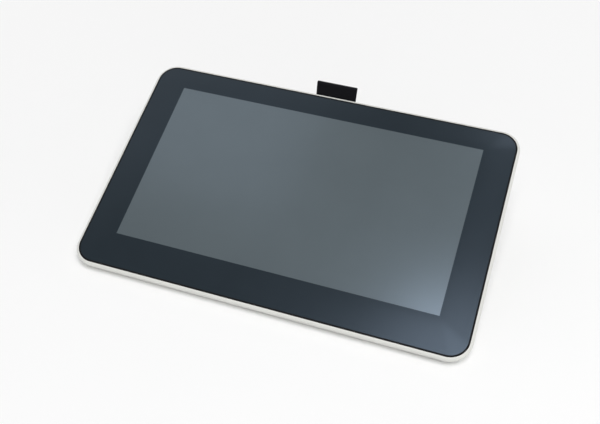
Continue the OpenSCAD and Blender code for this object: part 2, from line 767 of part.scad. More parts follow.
// Black frame that carries the glass and the display and shows as a thin rim
module front_frame() {
    color(black) stand() difference() {
        union() {
            translate([0, 0, shelf_under]) linear_extrude(shelf_t) case_outline(frame_in);
            translate([0, 0, shelf_z - eps]) linear_extrude(body_t - rim_drop - shelf_z + eps) difference() {
                case_outline(frame_in);
                case_outline(rim_in);
            }
            translate([0, box_low + box_d / 2, sensor_z]) linear_extrude(shelf_under - sensor_z + eps)
                round_rect(box_w + 2 * skirt_w, box_d + 2 * skirt_w, skirt_w);
            for (s = [-1, 1], y = ear_ys) translate([s * ear_x, y, sensor_z])
                cylinder(d = ear_d, h = shelf_under - sensor_z + eps);
            for (p = screw_spots) translate([p[0], p[1], post_top])
                cylinder(d = post_d, h = shelf_under - post_top + eps);
            frame_ribs();
        }
        translate([-box_w / 2, box_low, sensor_z - eps]) cube([box_w, box_d, body_t]);
        for (s = [-1, 1], y = ear_ys) translate([s * ear_x, y, sensor_z - eps])
            cylinder(d = small_d + 2 * screw_fit, h = shelf_under - sensor_z);
        for (p = screw_spots) translate([p[0], p[1], post_top - eps])
            cylinder(d = screw_d + 2 * screw_fit, h = shelf_under - post_top);
        translate([0, case_d / 2 - lip - tail_l / 2, clamp_z + clamp_t + clamp_room - shelf_t])
            cube([clamp_w + 2 * clamp_side, tail_l + 2 * clamp_side, 2 * shelf_t], center = true);
    }
}

// Cover glass with a slightly rounded front edge
module cover_glass() {
    r = case_r - glass_in;
    color(screen_grey, 0.5) stand() translate([0, 0, glass_z])
        swept(case_w - 2 * glass_in, case_d - 2 * glass_in, r, 0, glass_t) {
            union() {
                square([r, glass_t - glass_edge]);
                square([r - glass_edge, glass_t]);
                translate([r - glass_edge, glass_t - glass_edge]) circle(glass_edge);
            }
        }
}

// Black print under the glass, open over the picture
module border_film() {
    color(border_black) stand() translate([0, 0, film_z]) linear_extrude(film_t) difference() {
        case_outline(glass_in + glass_edge);
        translate([0, screen_up]) square([screen_w, screen_h], center = true);
    }
}

// Tape between the frame's shelf and the glass
module glass_tape() {
    color(black) stand() translate([0, 0, shelf_z]) linear_extrude(tape_t) difference() {
        case_outline(glass_in + glass_edge);
        case_outline(glass_in + glass_edge + tape_w);
    }
}

// Display panel: two glass plates, the lower one longer by the connecting ledge
module lcd_panel() {
    color(screen_grey) stand() {
        translate([-lcd_w / 2, lcd_low, lcd_z]) cube([lcd_w, lcd_d, lcd_t / 2]);
        translate([-lcd_w / 2, lcd_low + lcd_ledge - lcd_lap, lcd_z + lcd_t / 2 - eps / 2])
            cube([lcd_w, lcd_d - lcd_ledge + lcd_lap, lcd_t / 2 + eps / 2]);
    }
}

// Inside of the backlight tray at a level, for the pieces that lie in it
module in_tray(z, low, t) {
    translate([-lcd_w / 2 + tray_wall, low, z]) cube([lcd_w - 2 * tray_wall, lcd_top - tray_wall - low, t]);
}

module diffuser_sheets() {
    color("whitesmoke") stand() in_tray(lcd_z - sheet_t, lcd_low + tray_wall, sheet_t);
}

module light_guide() {
    color("lightcyan") stand()
        in_tray(driver_z, lcd_low + tray_wall + led_w, backlight_t - tray_floor - sheet_t);
}

// Row of lamps on a strip at the lower edge of the light guide
module led_strip() {
    lamp_h = backlight_t - tray_floor - sheet_t - led_gap;
    strip_l = lcd_w - 2 * tray_wall;
    pitch = strip_l / lamps;
    color("khaki") stand() translate([0, lcd_low + tray_wall, driver_z]) {
        translate([-strip_l / 2, 0, 0]) cube([strip_l, led_board_t, lamp_h]);
        for (k = [0 : lamps - 1])
            translate([(k - (lamps - 1) / 2) * pitch - pitch / 4, led_board_t - fuse, 0])
                cube([pitch / 2, led_w - led_board_t, lamp_h]);
    }
}

// Metal tray of the backlight, with a flange under the panel driver board
module backlight_tray() {
    color(steel) stand() {
        difference() {
            translate([-lcd_w / 2, lcd_low, tray_z]) cube([lcd_w, lcd_d, backlight_t]);
            in_tray(driver_z, lcd_low + tray_wall, backlight_t);
        }
        difference() {
            translate([-driver_w / 2, driver_low, tray_z])
                cube([driver_w, lcd_low - driver_low + eps, tray_floor]);
            translate([cable_x - cable_w / 2 - cable_in, driver_low + driver_chip_in, tray_z - eps])
                cube([cable_w + 2 * cable_in, driver_d / 2, 2 * eps + tray_floor]);
        }
    }
}

// Board that drives the panel, with its chips and the display cable's socket
module panel_driver_board() {
    chip_z = driver_z + driver_t - fuse;
    color(board_green) stand() {
        translate([-driver_w / 2, driver_low, driver_z]) cube([driver_w, driver_d, driver_t]);
        for (k = [0 : strips - 1])
            translate([strip_x(k) - driver_chip[0] / 2, driver_low + driver_chip_in, chip_z])
                cube(driver_chip);
        translate([cable_x - cable_w / 2, driver_low + cable_in, tray_z - fuse])
            cube([cable_w, driver_d / 2 - cable_in / 2, tray_floor + 2 * fuse]);
    }
}

// Flex strips from the panel's ledge down to the driver board
module panel_flex_strips() {
    ledge_z = lcd_z + lcd_t / 2;
    board_face = driver_z + driver_t;
    start = lcd_low + lcd_ledge - lcd_lap - strip_gap;
    bend = lcd_low - strip_out;
    path = [
        [start, ledge_z], [bend, ledge_z], [bend - strip_run, board_face], [bend - 2 * strip_run, board_face]
    ];
    color(flex_amber) stand()
        for (k = [0 : strips - 1]) translate([strip_x(k), 0, 0]) band(path, flex_t, strip_w);
}

// Board that senses the pen, behind the backlight
module sensor_board() {
    color(board_green) stand() translate([-lcd_w / 2, lcd_low, sensor_z]) cube([lcd_w, lcd_d, sensor_t]);
}

// Steel plate that closes the display box, with ears for its screws and slots for the cables
module shield_plate() {
    flex_slot = flex_bond + flex_slope + slot_end[0] + slot_end[1];
    color(steel) stand() translate([0, 0, shield_z]) linear_extrude(shield_t) difference() {
        union() {
            translate([0, box_low + box_d / 2])
                round_rect(box_w + 2 * skirt_w, box_d + 2 * skirt_w, skirt_w);
            for (s = [-1, 1], y = ear_ys) translate([s * ear_x, y]) circle(d = ear_d);
        }
        for (s = [-1, 1], y = ear_ys) translate([s * ear_x, y]) circle(d = small_d + 2 * screw_fit);
        translate([cable_x - cable_w / 2 - slot_side, driver_low])
            square([cable_w + 2 * slot_side, driver_d + box_gap]);
        translate([flex_x - flex_w / 2 - slot_side, flex_low - slot_end[0]])
            square([flex_w + 2 * slot_side, flex_slot]);
    }
}

module shield_screws() {
    color(steel) stand() for (s = [-1, 1], y = ear_ys)
        translate([s * ear_x, y, shield_z]) screw(small_d, shield_screw_l, small_head_d, small_head_h);
}

// Main board with tabs to the socket and the switch, its chips and its connectors
module main_board() {
    switch_low = button_x - switch_size[0] / 2 - tab_edge;
    switch_high = light_x + lamp_size[0] / 2 + tab_edge;
    // Chips: place from the middle of the board, width and depth
    chips = [[0, -2, 14, 14], [-11, 5, 8, 10], [12, -7, 7, 7]];
    color(board_green) stand() {
        difference() {
            translate([0, 0, board_z]) linear_extrude(board_t) {
                translate([-board_w / 2, board_low]) square([board_w, board_d]);
                for (tab = [[usb_x - tab_w / 2, tab_w], [switch_low, switch_high - switch_low]])
                    translate([tab[0], board_high - eps]) square([tab[1], board_edge - board_high + eps]);
            }
            for (p = board_spots) translate([p[0], p[1], board_z - eps])
                cylinder(d = small_d + 2 * screw_fit, h = board_t + 2 * eps);
        }
        for (c = chips)
            translate([c[0] - c[2] / 2, board_low + board_d / 2 + c[1] - c[3] / 2, board_top - fuse])
                cube([c[2], c[3], chip_h + fuse]);
        translate([cable_x - cable_w / 2, board_low + plug_in, board_top - fuse])
            cube([cable_w, plug_d, plug_rise + fuse]);
        translate([flex_x - flex_w / 2, flex_plug, board_top - fuse])
            cube([flex_w, plug_d, plug_rise + fuse]);
        translate([light_x - lamp_size[0] / 2, lamp_front - lamp_size[1], board_top - fuse])
            cube([lamp_size[0], lamp_size[1], button_lift + light_d / 2]);
    }
}

// Folded steel lid over the main chips
module shield_can() {
    color(steel) stand() translate([0, board_low + board_d / 2, board_top]) difference() {
        translate([0, 0, can_h / 2]) cube([can_w, can_d, can_h], center = true);
        translate([0, 0, can_h / 2 - can_wall])
            cube([can_w - 2 * can_wall, can_d - 2 * can_wall, can_h], center = true);
    }
}

module board_screws() {
    color(steel) stand() for (p = board_spots)
        translate([p[0], p[1], board_top]) mirror([0, 0, 1])
            screw(small_d, board_t + board_bite, small_head_d, board_head_h);
}

// USB-C socket: oval shell, back wall and contact tongue
module usb_c_socket() {
    inner_end = usb_mouth - usb_l;
    color(steel) stand() translate([usb_x, 0, usb_z]) {
        along_y(inner_end, usb_mouth) difference() {
            stadium(usb_w, usb_h);
            stadium(usb_w - 2 * usb_wall, usb_h - 2 * usb_wall);
        }
        along_y(inner_end, inner_end + usb_back) stadium(usb_w - usb_wall, usb_h - usb_wall);
        translate([-usb_tongue[0] / 2, inner_end + usb_back - fuse, -usb_tongue[2] / 2])
            cube(usb_tongue);
    }
}

// Small side-pressed switch on the main board
module power_switch() {
    color(black) stand() {
        translate([button_x - switch_size[0] / 2, switch_front - switch_size[1], board_top])
            cube(switch_size);
        translate([button_x, 0, button_z])
            along_y(switch_front - fuse, switch_tip) circle(d = switch_tip_d);
    }
}

// Power button: an oval key with ears that keep it in the case
module power_button() {
    color(off_white) stand() {
        within_side(button_proud) translate([button_x, 0, button_z])
            along_y(button_back, case_d / 2 + eps) stadium(button_w, button_h);
        translate([button_x, 0, button_z]) along_y(button_back, ear_front)
            square([button_w + 2 * button_ear, button_h - button_ear_low], center = true);
    }
}

module status_light_pipe() {
    color("white") stand() within_side(-light_sink) translate([light_x, 0, button_z])
        along_y(lamp_front + lamp_gap, case_d / 2) circle(d = light_d);
}

// Flat cable from the panel driver board, behind the shield, to the main board
module display_cable() {
    start_z = tray_z - fuse - cable_t;
    bend = driver_low + driver_d / 2 + cable_in / 2;
    path = [
        [driver_low + cable_in, start_z], [bend, start_z],
        [bend + cable_slope, cable_z], [board_low - cable_ramp, cable_z],
        [board_low, plug_z], [board_low + plug_in + plug_d, plug_z]
    ];
    color(flex_amber) stand() translate([cable_x, 0, 0]) band(path, cable_t, cable_w);
}

// Flex from the pen sensor board, through the shield, to the main board
module sensor_flex() {
    bond_z = sensor_z - flex_t;
    path = [
        [lcd_top - flex_in, bond_z], [lcd_top - flex_in - flex_bond, bond_z],
        [flex_low, shield_z - flex_drop], [flex_low - flex_ramp, plug_z], [flex_plug, plug_z]
    ];
    color(flex_amber) stand() translate([flex_x, 0, 0]) band(path, flex_t, flex_w);
}

// Frame of one leg, opened: the hinge line is its x axis, and the folded leg runs along -y
module at_leg(s) {
    stand() translate([s * leg_x, hinge_y, hinge_z]) rotate([open_a, 0, 0]) children();
}

// Plan of a leg from its hinge line to its tip
module leg_plan() {
    translate([0, -leg_tip / 2]) round_rect(leg_w, leg_tip, leg_corner);
    translate([-leg_w / 2, -leg_tip / 2]) square([leg_w, leg_tip / 2]);
}

// Tongue at the end of a leg, or the groove for it in the pad
module leg_tongue(fit) {
    w = leg_w - 2 * leg_corner + 2 * fit;
    translate([-w / 2, -plate_l - tongue_l - fit, -tongue_t / 2 - fit])
        cube([w, tongue_l + fit + eps, tongue_t + 2 * fit]);
}

// Ribs with grooves for the nibs and a post for the nib remover
module nib_store() {
    nibs = cell_mid(0, store_row);
    ring = cell_mid(1, store_row);
    difference() {
        for (s = [-1, 1])
            translate([nibs[0] + s * cradle_out - cradle_t / 2, nibs[1] - cell_d / 2 - eps, cell_floor - eps])
                cube([cradle_t, cell_d + 2 * eps, nib_z - cell_floor + eps]);
        for (k = [-1 : 1])
            translate([nibs[0], nibs[1] + k * nib_pitch, nib_z]) x_rod(nib_d + 2 * nib_fit, nib_l);
    }
    translate([ring[0], ring[1], cell_floor - eps])
        cylinder(d = remover_hole - 2 * nib_fit, h = remover_t + eps + remover_post);
}

// Moulded leg: hinge barrel, skin, outer wall and ribs
module leg(s, stores_nibs) {
    color(off_white) at_leg(s) difference() {
        union() {
            x_rod(leg_t, leg_w);
            difference() {
                translate([0, 0, -barrel_r]) linear_extrude(leg_t) intersection() {
                    leg_plan();
                    translate([-leg_w / 2, -plate_l]) square([leg_w, plate_l]);
                }
                for (col = [0 : cell_cols - 1], row = [0 : cell_rows - 1])
                    translate([cell_mid(col, row)[0], cell_mid(col, row)[1], cell_floor])
                        linear_extrude(leg_t) round_rect(cell_w, cell_d, cell_round);
            }
            leg_tongue(0);
            if (stores_nibs) nib_store();
        }
        x_rod(pin_d + 2 * hinge_fit, leg_w + 2 * eps);
    }
}

module leg_left() { leg(-1, true); }
module leg_right() { leg(1, false); }

// Rubber pad at the end of a leg, with its sole flat on the table when the leg is open
module leg_pad(s) {
    side = [
        [-plate_l, -barrel_r], [-leg_tip, -barrel_r],
        [-leg_tip + 2 * sole_rise, barrel_r], [-plate_l, barrel_r]
    ];
    color(rubber_grey) at_leg(s) difference() {
        intersection() {
            along_x(leg_w + 2 * eps) polygon(side);
            translate([0, 0, -leg_t]) linear_extrude(2 * leg_t) leg_plan();
        }
        leg_tongue(tongue_fit);
    }
}

module leg_pad_left() { leg_pad(-1); }
module leg_pad_right() { leg_pad(1); }

// Steel hinge pin through both bosses and the leg, with its head towards the middle
module leg_pin(s) {
    color(steel) stand() translate([s * leg_x, hinge_y, hinge_z]) {
        x_rod(pin_d, pin_l);
        translate([-s * (pin_l + pin_head_t) / 2, 0, 0]) x_rod(pin_head_d, pin_head_t);
    }
}

module leg_pin_left() { leg_pin(-1); }
module leg_pin_right() { leg_pin(1); }

// Spare nibs with round tips, in the left leg
module spare_nibs() {
    spot = cell_mid(0, store_row);
    color("dimgray") at_leg(-1) for (k = [-1 : 1])
        translate([spot[0], spot[1] + k * nib_pitch, nib_z]) {
            x_rod(nib_d, nib_l - nib_d);
            translate([nib_l / 2 - nib_d / 2, 0, 0]) sphere(d = nib_d);
        }
}

// Split ring that pulls worn nibs
module nib_remover() {
    spot = cell_mid(1, store_row);
    color(steel) at_leg(-1) translate([spot[0], spot[1], cell_floor]) difference() {
        cylinder(d = remover_d, h = remover_t);
        translate([0, 0, -eps]) cylinder(d = remover_hole, h = remover_t + 2 * eps);
        translate([0, -remover_slit / 2, -eps]) cube([remover_d, remover_slit, remover_t + 2 * eps]);
    }
}

// Rubber foot strip with round ends
module foot(sx, sy) {
    color(rubber_grey) stand() translate([sx * foot_x, sy * foot_y, -foot_h])
        linear_extrude(foot_h + foot_sink) stadium(foot_l, foot_w);
}

module front_foot_left() { foot(-1, -1); }
module front_foot_right() { foot(1, -1); }
module rear_foot_left() { foot(-1, 1); }
module rear_foot_right() { foot(1, 1); }

module case_screws() {
    color(steel) stand() for (p = screw_spots)
        translate([p[0], p[1], head_seat]) screw(screw_d, screw_l, head_d, head_h);
}

// Round end of the loop in y-z, with the straight faces that run from it to the tip where they meet
module fold_outline(r) {
    half = (ply_front - ply_back) / 2;
    meet = r * [-sin(half), cos(half)];
    translate(loop_mid) rotate(ply_back + half) {
        circle(r);
        polygon([[-r / sin(half), 0], [meet[0], -meet[1]], [0, 0], meet]);
    }
}

// Both plies where they bend up outside the case, in y-z
module bend_outline() {
    outer_r = bend_r + 2 * band_t;
    translate(loop_bend) intersection() {
        difference() {
            circle(outer_r);
            circle(bend_r);
        }
        rotate(-90) square(2 * outer_r);
        rotate(ply_front - 180) square(2 * outer_r);
    }
}

// Fabric pen loop: a band of webbing folded flat, with both ends held in the case
module pen_loop() {
    span = 2 * loop_reach;
    color(black) stand() along_x(loop_w) difference() {
        union() {
            translate([tail_in, loop_z - band_t]) square([tail_l + bend_out, 2 * band_t]);
            bend_outline();
            intersection() {
                fold_outline(loop_r);
                translate(loop_bend) rotate(ply_back) translate([0, -span / 2]) square(span);
            }
        }
        fold_outline(loop_r - band_t);
    }
}

// Steel bar that clamps the ends of the pen loop
module loop_clamp() {
    color(steel) stand() difference() {
        translate([-clamp_w / 2, clamp_y - clamp_d / 2, clamp_z]) cube([clamp_w, clamp_d, clamp_t]);
        for (s = [-1, 1]) translate([s * clamp_screw_x, clamp_y, clamp_z]) {
            translate([0, 0, -eps]) cylinder(d = small_d + 2 * screw_fit, h = clamp_t + 2 * eps);
            translate([0, 0, clamp_t - small_head_h]) cylinder(d = small_head_d + 2 * screw_fit, h = clamp_t);
        }
    }
}

module loop_screws() {
    color(steel) stand() for (s = [-1, 1])
        translate([s * clamp_screw_x, clamp_y, clamp_z + clamp_t - small_head_h])
            mirror([0, 0, 1]) screw(small_d, loop_screw_l, small_head_d, small_head_h);
}

rear_cover();
front_frame();
cover_glass();
border_film();
glass_tape();
lcd_panel();
diffuser_sheets();
light_guide();
led_strip();
backlight_tray();
panel_driver_board();
panel_flex_strips();
sensor_board();
shield_plate();
shield_screws();
main_board();
shield_can();
board_screws();
usb_c_socket();
power_switch();
power_button();
status_light_pipe();
display_cable();
sensor_flex();
leg_left();
leg_right();
leg_pin_left();
leg_pin_right();
leg_pad_left();
leg_pad_right();
spare_nibs();
nib_remover();
front_foot_left();
front_foot_right();
rear_foot_left();
rear_foot_right();
case_screws();
pen_loop();
loop_clamp();
loop_screws();
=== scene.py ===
"""Pen display on its two folding legs: looks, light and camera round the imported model."""

import json
import math

import bmesh
import bpy
from mathutils import Matrix, Vector


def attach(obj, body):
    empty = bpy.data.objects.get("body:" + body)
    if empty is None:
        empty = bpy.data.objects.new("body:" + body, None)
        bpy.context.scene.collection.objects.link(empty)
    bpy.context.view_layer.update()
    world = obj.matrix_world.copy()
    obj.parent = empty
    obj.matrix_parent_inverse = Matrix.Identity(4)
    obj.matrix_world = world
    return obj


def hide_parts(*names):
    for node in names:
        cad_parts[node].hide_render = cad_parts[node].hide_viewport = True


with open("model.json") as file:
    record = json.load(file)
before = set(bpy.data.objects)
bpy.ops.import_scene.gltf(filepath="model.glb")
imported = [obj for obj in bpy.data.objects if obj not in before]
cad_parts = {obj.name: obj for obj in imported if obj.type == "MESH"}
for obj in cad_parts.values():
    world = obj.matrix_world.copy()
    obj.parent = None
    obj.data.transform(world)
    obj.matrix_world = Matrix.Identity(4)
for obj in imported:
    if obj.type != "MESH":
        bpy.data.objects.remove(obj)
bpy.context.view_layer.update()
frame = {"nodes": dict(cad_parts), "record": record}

MM = 0.001
QUARTER = math.pi / 2

# Cover glass: plan radius of its corners, radius of its front edge, and the picture inside the panel
GLASS_CORNER = 15.95 * MM
GLASS_EDGE = 0.6 * MM
CORNER_STEPS = 16
EDGE_STEPS = 5
PANEL_SIDE = 3.5 * MM
PANEL_LEDGE = 5.0 * MM

# Pen loop: its fold, its bend outside the case, and the slopes of its two plies
FOLD_RADIUS = 1.9 * MM
BAND_T = 1.1 * MM
BEND_RADIUS = 1.0 * MM
FOLD_REACH = 11.6 * MM
FOLD_LEAN = math.radians(44)
PLY_FRONT = FOLD_LEAN + math.asin((BEND_RADIUS + FOLD_RADIUS) / FOLD_REACH)
PLY_BACK = FOLD_LEAN + math.asin((BEND_RADIUS + 2 * BAND_T - FOLD_RADIUS) / FOLD_REACH)
BEND_STEPS = 24
FOLD_STEPS = 48

# Weave of the pen loop: its ribs, and the band along each side where it thins to its edge
RIB_PITCH = 1.0 * MM
RIB_DEPTH = 0.09 * MM
STEPS_PER_RIB = 4
SELVEDGE = 1.0 * MM
EDGE_HALF = 0.25 * MM

# Angles past which an edge stays sharp
GLASS_CREASE = math.radians(35)
WEAVE_CREASE = math.radians(60)

# Detail of the materials: sizes of its features, and depths of its relief
TONE_SIZE = 30 * MM
GRAIN_SIZE = 0.35 * MM
GRAIN_DEPTH = 0.02 * MM
RUBBER_GRAIN = 0.6 * MM
LINE_SIZE = 8 * MM
LINE_STRETCH = (1, 30, 1)
WAVE_SIZE = 6 * MM
WAVE_DEPTH = 0.02 * MM
TRACK_SCALE = 120
TRACK_SHARE = 0.012
TRACK_DEPTH = 0.02 * MM
MASK_SIZE = 4 * MM
CLOUD_SIZE = 45 * MM
SPARKLE_SIZE = 0.12 * MM
SPARKLE_DEPTH = 0.0012 * MM
YARN_SIZE = 0.25 * MM
YARN_STRETCH = (1, 0.25, 0.25)
YARN_DEPTH = 0.08 * MM
FUZZ_SIZE = 6 * MM

# Faint blue of the glare on the etched glass
GLARE_TINT = (0.61, 0.77, 1.0)

# Camera of the photograph: its place, heading, fall, roll and lens
CAMERA_AT = Vector((185.72, -541.67, 559.28)) * MM
CAMERA_HEADING = math.radians(18.928)
CAMERA_FALL = math.radians(43.104)
CAMERA_ROLL = math.radians(0.143)
CAMERA_LENS = 51.39
SENSOR_WIDTH = 36

# Background: its white, and how far from the part the floor's shadow fades into it, in metres
WHITE = 0.947
SHADOW_REACH = 0.3
WHITE_FROM = 0.8

# Floor: half its side and the size of its faint mottle in metres, and its two tones
FLOOR_HALF = 4.0
MOTTLE_SIZE = 0.4
FLOOR_TONES = (0.93, 0.94)

# Room: sines of the heights between which its white falls off, and its tone overhead
ROOM_WHITE_TO = 0.1
ROOM_DARK_FROM = 0.6
ROOM_OVERHEAD = 0.3

# The tablet's axes, from the face that its rear feet rest on
record = frame["record"]
foot_axis = next(Vector(m["axis"]) for m in record["mounts"] if m["name"] == "back_foot_face")
tilt = math.atan2(foot_axis.y, -foot_axis.z)
TABLET = Matrix.Rotation(tilt, 4, "X")


def tablet_box(node):
    """Lowest and highest corner of a node along the tablet's own axes."""
    turned = [TABLET.inverted() @ v.co for v in frame["nodes"][node].data.vertices]
    low = Vector([min(p[i] for p in turned) for i in range(3)])
    high = Vector([max(p[i] for p in turned) for i in range(3)])
    return low, high


def add_object(name, bm, materials, body, crease):
    """New mesh piece from a bmesh given along the tablet's axes."""
    bmesh.ops.recalc_face_normals(bm, faces=bm.faces)
    mesh = bpy.data.meshes.new(name)
    bm.transform(TABLET)
    bm.to_mesh(mesh)
    bm.free()
    piece = bpy.data.objects.new(name, mesh)
    bpy.context.scene.collection.objects.link(piece)
    for material in materials:
        mesh.materials.append(material)
    mesh.shade_smooth()
    mesh.set_sharp_from_angle(angle=crease)
    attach(piece, body)
    return piece


class Look:
    """A material that is put together from nodes."""

    def __init__(self, name):
        self.material = bpy.data.materials.new(name)
        self.material.use_nodes = True
        self.tree = self.material.node_tree
        self.shader = self.tree.nodes["Principled BSDF"]

    def add(self, kind, **settings):
        """New node with these settings."""
        node = self.tree.nodes.new(kind)
        for key, value in settings.items():
            setattr(node, key, value)
        return node

    def link(self, source, target):
        """Joins an output to an input."""
        self.tree.links.new(source, target)

    def place(self):
        """Coordinates on the object, in metres."""
        return self.add("ShaderNodeTexCoord").outputs["Object"]

    def noise(self, size, detail=2.0, stretch=(1, 1, 1)):
        """Noise with features of about this size in metres."""
        mapping = self.add("ShaderNodeMapping")
        mapping.inputs["Scale"].default_value = Vector(stretch) / size
        self.link(self.place(), mapping.inputs["Vector"])
        node = self.add("ShaderNodeTexNoise")
        node.inputs["Scale"].default_value = 1.0
        node.inputs["Detail"].default_value = detail
        self.link(mapping.outputs["Vector"], node.inputs["Vector"])
        return node.outputs["Fac"]

    def spread(self, value, low, high, start=0.3, end=0.7):
        """Maps the values from start to end, where most of a noise lies, to a range."""
        node = self.add("ShaderNodeMapRange")
        node.inputs["From Min"].default_value = start
        node.inputs["From Max"].default_value = end
        node.inputs["To Min"].default_value = low
        node.inputs["To Max"].default_value = high
        self.link(value, node.inputs["Value"])
        return node.outputs["Result"]

    def combine(self, operation, first, second):
        """Two values put together and kept between 0 and 1."""
        node = self.add("ShaderNodeMath", operation=operation, use_clamp=True)
        self.link(first, node.inputs[0])
        self.link(second, node.inputs[1])
        return node.outputs[0]

    def colour(self, value, first, second):
        """Base colour that runs from one colour to another with a value."""
        node = self.add("ShaderNodeMix", data_type="RGBA")
        node.inputs["A"].default_value = (*first, 1)
        node.inputs["B"].default_value = (*second, 1)
        self.link(value, node.inputs["Factor"])
        self.link(node.outputs["Result"], self.shader.inputs["Base Color"])

    def rough(self, value, low, high):
        """Roughness that runs over a range with a noise."""
        self.link(self.spread(value, low, high), self.shader.inputs["Roughness"])

    def bump(self, value, depth):
        """Fine relief of this depth in metres."""
        node = self.add("ShaderNodeBump")
        node.inputs["Strength"].default_value = 1.0
        node.inputs["Distance"].default_value = depth
        self.link(value, node.inputs["Height"])
        self.link(node.outputs["Normal"], self.shader.inputs["Normal"])

    def fixed(self, **values):
        """Sets values that are the same all over."""
        for key, value in values.items():
            self.shader.inputs[key.replace("_", " ")].default_value = value


def varied(colour, share):
    """A colour made lighter or darker by a share."""
    return tuple(c * (1 + share) for c in colour)


def grey(tone):
    """Neutral colour of one tone."""
    return (tone, tone, tone)


def moulded(name, colour, rough=(0.42, 0.52), grain=GRAIN_SIZE, mottle=0.02, specular=0.5):
    """Moulded plastic or rubber: fine grain, faint uneven tone."""
    look = Look(name)
    cloud = look.noise(TONE_SIZE, detail=3)
    fine = look.noise(grain)
    look.colour(look.spread(cloud, 0, 1), varied(colour, -mottle), varied(colour, mottle))
    look.rough(fine, *rough)
    look.bump(fine, GRAIN_DEPTH)
    look.fixed(Specular_IOR_Level=specular)
    return look.material


def metal(name, colour):
    """Rolled metal with fine lines along one way."""
    look = Look(name)
    lines = look.noise(LINE_SIZE, detail=3, stretch=LINE_STRETCH)
    look.colour(look.spread(lines, 0, 1), varied(colour, -0.08), varied(colour, 0.04))
    look.rough(lines, 0.25, 0.4)
    look.fixed(Metallic=1.0)
    return look.material


def glossy(name, colour, rough=(0.15, 0.25), mottle=0.05):
    """Film, acrylic or lacquer: smooth, with a faint waviness."""
    look = Look(name)
    wave = look.noise(WAVE_SIZE)
    look.colour(look.spread(wave, 0, 1), varied(colour, -mottle), varied(colour, mottle))
    look.rough(wave, *rough)
    look.bump(wave, WAVE_DEPTH)
    return look.material


def circuit(name, colour, trace):
    """Solder mask over copper tracks."""
    look = Look(name)
    brick = look.add("ShaderNodeTexBrick")
    brick.inputs["Scale"].default_value = TRACK_SCALE
    brick.inputs["Mortar Size"].default_value = TRACK_SHARE
    brick.inputs["Color1"].default_value = (*colour, 1)
    brick.inputs["Color2"].default_value = (*varied(colour, 0.12), 1)
    brick.inputs["Mortar"].default_value = (*trace, 1)
    look.link(look.place(), brick.inputs["Vector"])
    look.link(brick.outputs["Color"], look.shader.inputs["Base Color"])
    look.rough(look.noise(MASK_SIZE), 0.3, 0.45)
    look.bump(brick.outputs["Fac"], TRACK_DEPTH)
    return look.material


def etched_glass(name, colour, rough, ior, mottle):
    """Anti-glare front: the dark layer below, with a finely etched gloss over it."""
    look = Look(name)
    cloud = look.noise(CLOUD_SIZE, detail=3)
    sparkle = look.noise(SPARKLE_SIZE, detail=1)
    look.colour(look.spread(cloud, 0, 1), varied(colour, -mottle), varied(colour, mottle))
    look.rough(sparkle, *rough)
    look.bump(sparkle, SPARKLE_DEPTH)
    look.fixed(Specular_IOR_Level=0.5, IOR=ior, Specular_Tint=(*GLARE_TINT, 1))
    return look.material


def webbing(name, colour):
    """Black woven webbing: single yarns, a dry sheen."""
    look = Look(name)
    yarn = look.noise(YARN_SIZE, stretch=YARN_STRETCH)
    fuzz = look.noise(FUZZ_SIZE, detail=3)
    shade = look.combine("MULTIPLY", look.spread(yarn, 0.2, 1), look.spread(fuzz, 0.7, 1))
    look.colour(shade, varied(colour, -0.8), varied(colour, 1.6))
    look.rough(yarn, 0.65, 0.9)
    look.bump(yarn, YARN_DEPTH)
    look.fixed(Specular_IOR_Level=0.19, Sheen_Weight=0.045, Sheen_Roughness=0.4)
    return look.material


# Materials by the record's slots
BLACK = (0.003, 0.0035, 0.004)
LOOKS = {
    "shell_plastic": moulded("shell_plastic", (0.665, 0.667, 0.635)),
    "frame_plastic": moulded("frame_plastic", BLACK, rough=(0.55, 0.65), specular=0.2),
    "border_print": moulded("border_print", (0.006, 0.008, 0.01), mottle=0.1),
    "tape": moulded("tape", (0.02, 0.02, 0.02), rough=(0.7, 0.8), mottle=0.1),
    "display_glass": glossy("display_glass", (0.05, 0.058, 0.062)),
    "diffuser": moulded("diffuser", (0.8, 0.8, 0.8), rough=(0.6, 0.7), mottle=0.01),
    "acrylic": glossy("acrylic", (0.82, 0.85, 0.85), mottle=0.02),
    "lamp_strip": glossy("lamp_strip", (0.75, 0.66, 0.3), rough=(0.3, 0.4)),
    "tray_metal": metal("tray_metal", (0.6, 0.61, 0.62)),
    "circuit_board": circuit("circuit_board", (0.012, 0.09, 0.04), trace=(0.05, 0.2, 0.09)),
    "flex_film": glossy("flex_film", (0.42, 0.17, 0.02)),
    "steel": metal("steel", (0.52, 0.53, 0.54)),
    "rubber": moulded("rubber", (0.045, 0.045, 0.048), rough=(0.75, 0.9), grain=RUBBER_GRAIN, mottle=0.12,
                      specular=0.3),
    "nib_plastic": moulded("nib_plastic", (0.03, 0.03, 0.032), rough=(0.5, 0.6), mottle=0.08),
    "webbing": webbing("webbing", (0.0013, 0.0013, 0.0026)),
}

# Materials of the cover glass: its border, the picture and its edge, and the places of the last two
GLASS_LOOKS = (
    etched_glass("etched_border", (0.0132, 0.019, 0.0233), rough=(0.2, 0.24), ior=1.5, mottle=0.06),
    etched_glass("etched_screen", (0.079, 0.0955, 0.0985), rough=(0.173, 0.213), ior=2.06, mottle=0.03),
    moulded("ground_edge", BLACK, rough=(0.5, 0.6), specular=0.2),
)
PICTURE, GROUND_EDGE = 1, 2


def dress_nodes():
    """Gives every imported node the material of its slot, apart from the glass, which is replaced."""
    for part in record["subparts"]:
        slot = part["material_slot"]
        node = frame["nodes"][part["node"]]
        if slot in LOOKS:
            node.data.materials.clear()
            node.data.materials.append(LOOKS[slot])


